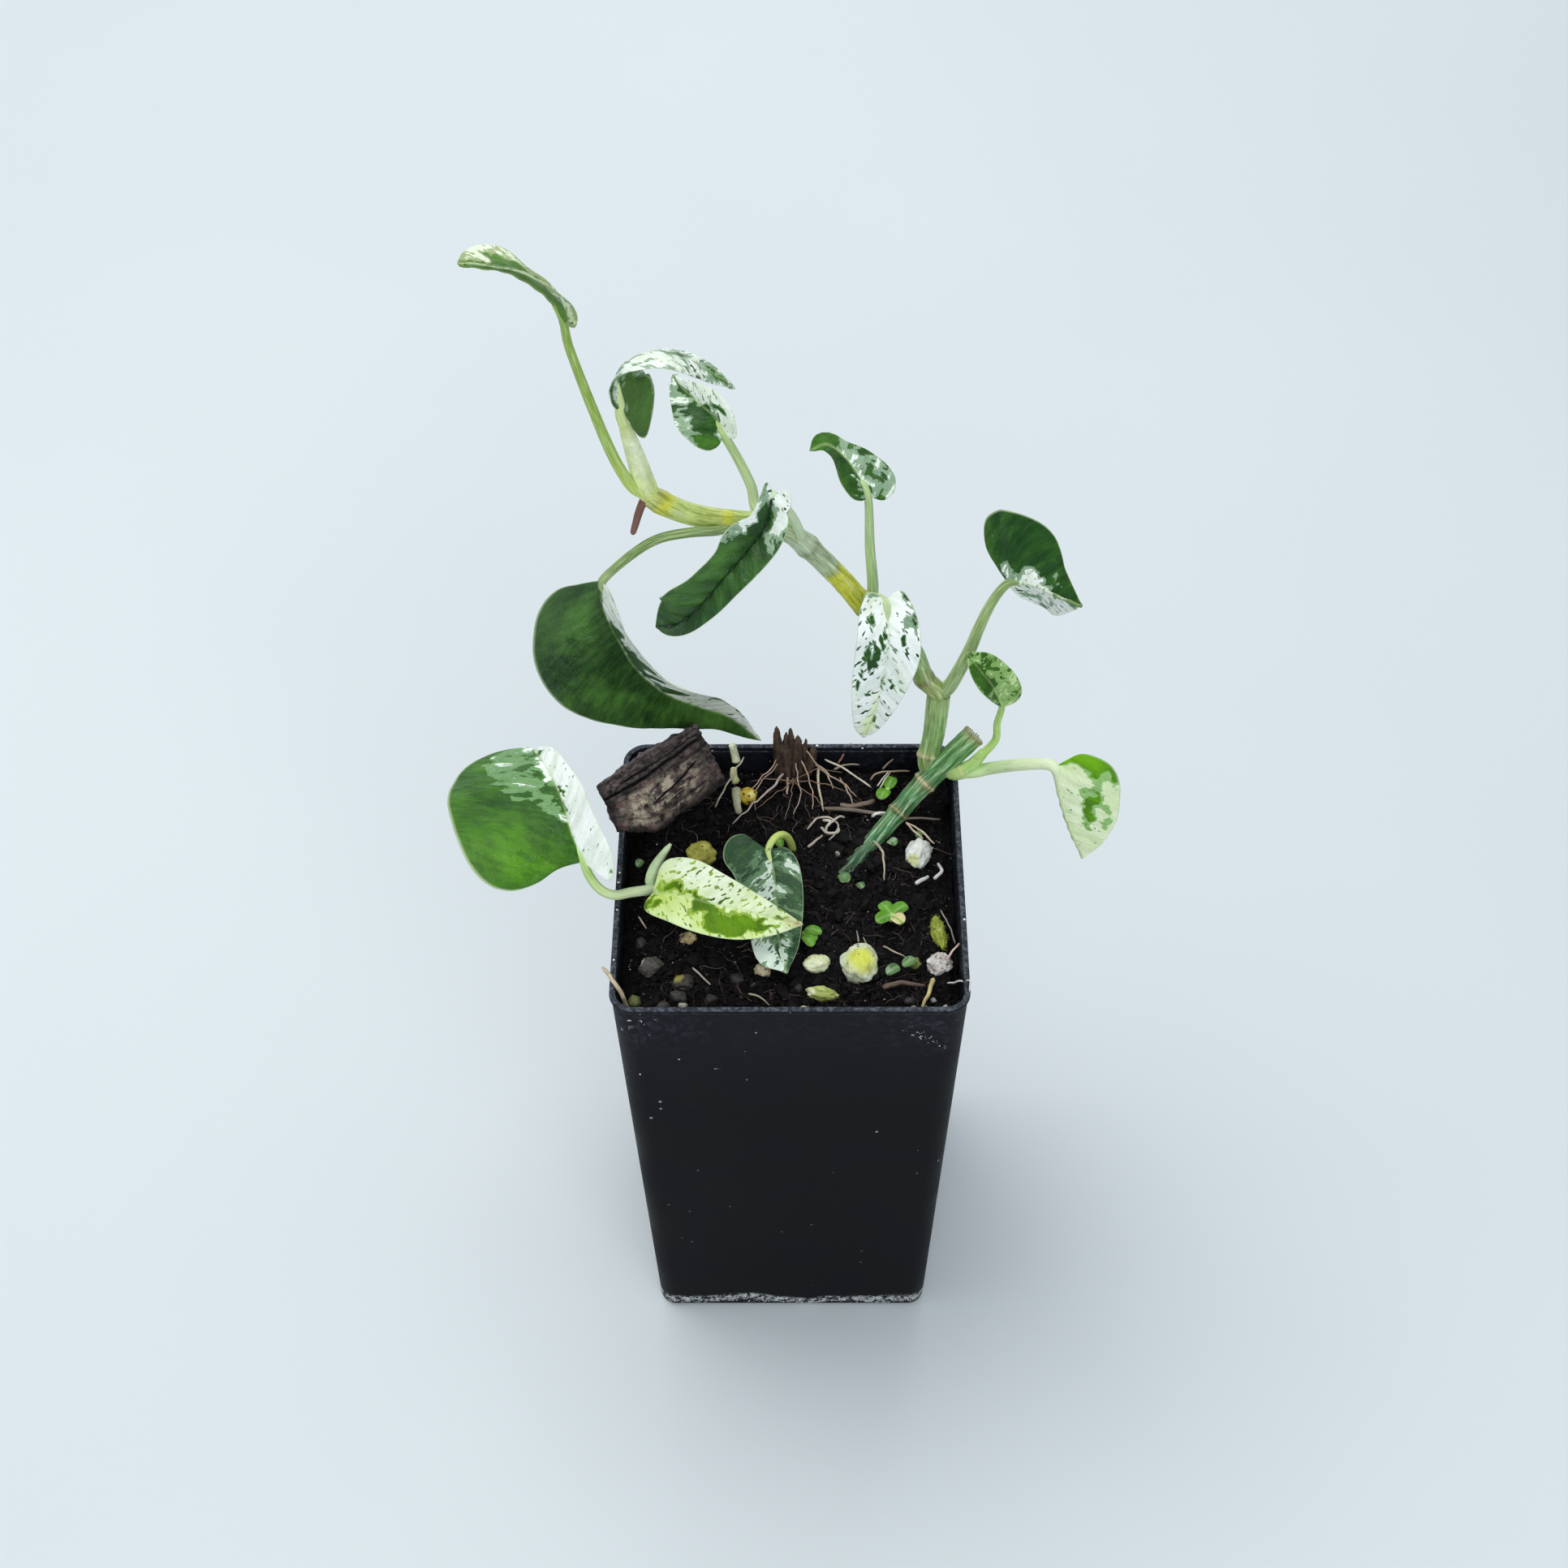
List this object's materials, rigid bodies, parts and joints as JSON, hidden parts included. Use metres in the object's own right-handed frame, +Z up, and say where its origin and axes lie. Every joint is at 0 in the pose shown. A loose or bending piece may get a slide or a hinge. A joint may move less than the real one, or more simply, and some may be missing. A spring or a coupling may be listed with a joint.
{
  "type": "potted pothos plant",
  "caption": "Variegated pothos grown from cuttings: a leaning vine and low leaves in a small tapered square black nursery pot filled with soil, bark and pumice.",
  "frame": {"origin": "centre of the pot's underside", "axes": "+Z up, -Y towards the front of the picture, +X to its right; the pot's walls face X and Y"},
  "size_m": [0.1243, 0.0676, 0.2423],
  "materials": {
    "pot_plastic": "thin satin black plastic with dust and a lime edge",
    "soil_mix": "damp dark fibrous potting mix",
    "bark": "rough layered bark",
    "stem_green": "ribbed green stem",
    "vine_green": "smooth yellow-green stem",
    "root_brown": "matt reddish brown",
    "root_pale": "fine pale fibre",
    "straw": "dry straw",
    "leaf_dark": "glossy dark green leaf with white areas",
    "leaf_green": "fresh green leaf with pale marbling",
    "leaf_pale": "white leaf with green flecks",
    "leaf_cream": "cream-yellow leaf with green flecks",
    "pumice": "pale pitted pumice",
    "mossy": "yellow-green mossy grit",
    "seedling_green": "soft bright green leaflets"
  },
  "bodies": {
    "root": {"pot": "pot_plastic", "soil": "soil_mix", "bark_chunk": "bark", "bark_stub": "bark", "fan_roots": "root_pale", "old_stem": "stem_green", "climbing_vine": "vine_green", "rooted_cutting": "stem_green", "young_shoot": "vine_green", "aerial_root": "root_brown", "leaf_top": "leaf_dark", "leaf_arched": "leaf_pale", "leaf_back": "leaf_pale", "leaf_folded": "leaf_dark", "leaf_large": "leaf_dark", "leaf_tall": "leaf_pale", "leaf_speckled": "leaf_pale", "leaf_right": "leaf_dark", "leaf_young": "leaf_green", "leaf_side": "leaf_cream", "leaf_broad": "leaf_green", "leaf_bright": "leaf_cream", "leaf_low": "leaf_pale", "stone_yellow": "pumice", "stone_front_right": "pumice", "stone_white": "pumice", "stone_pale": "pumice", "stone_beige": "pumice", "stone_hooked": "mossy", "stone_tiny": "pumice", "stone_left": "pumice", "stone_lump": "pumice", "stone_dark": "pumice", "moss_tuft": "mossy", "moss_streak": "mossy", "spotted_pellet": "pumice", "straw_left": "straw", "straw_right": "straw", "twig": "straw", "curled_root": "root_pale", "seedling_front": "seedling_green", "seedling_back": "seedling_green"}
  },
  "joints": []
}
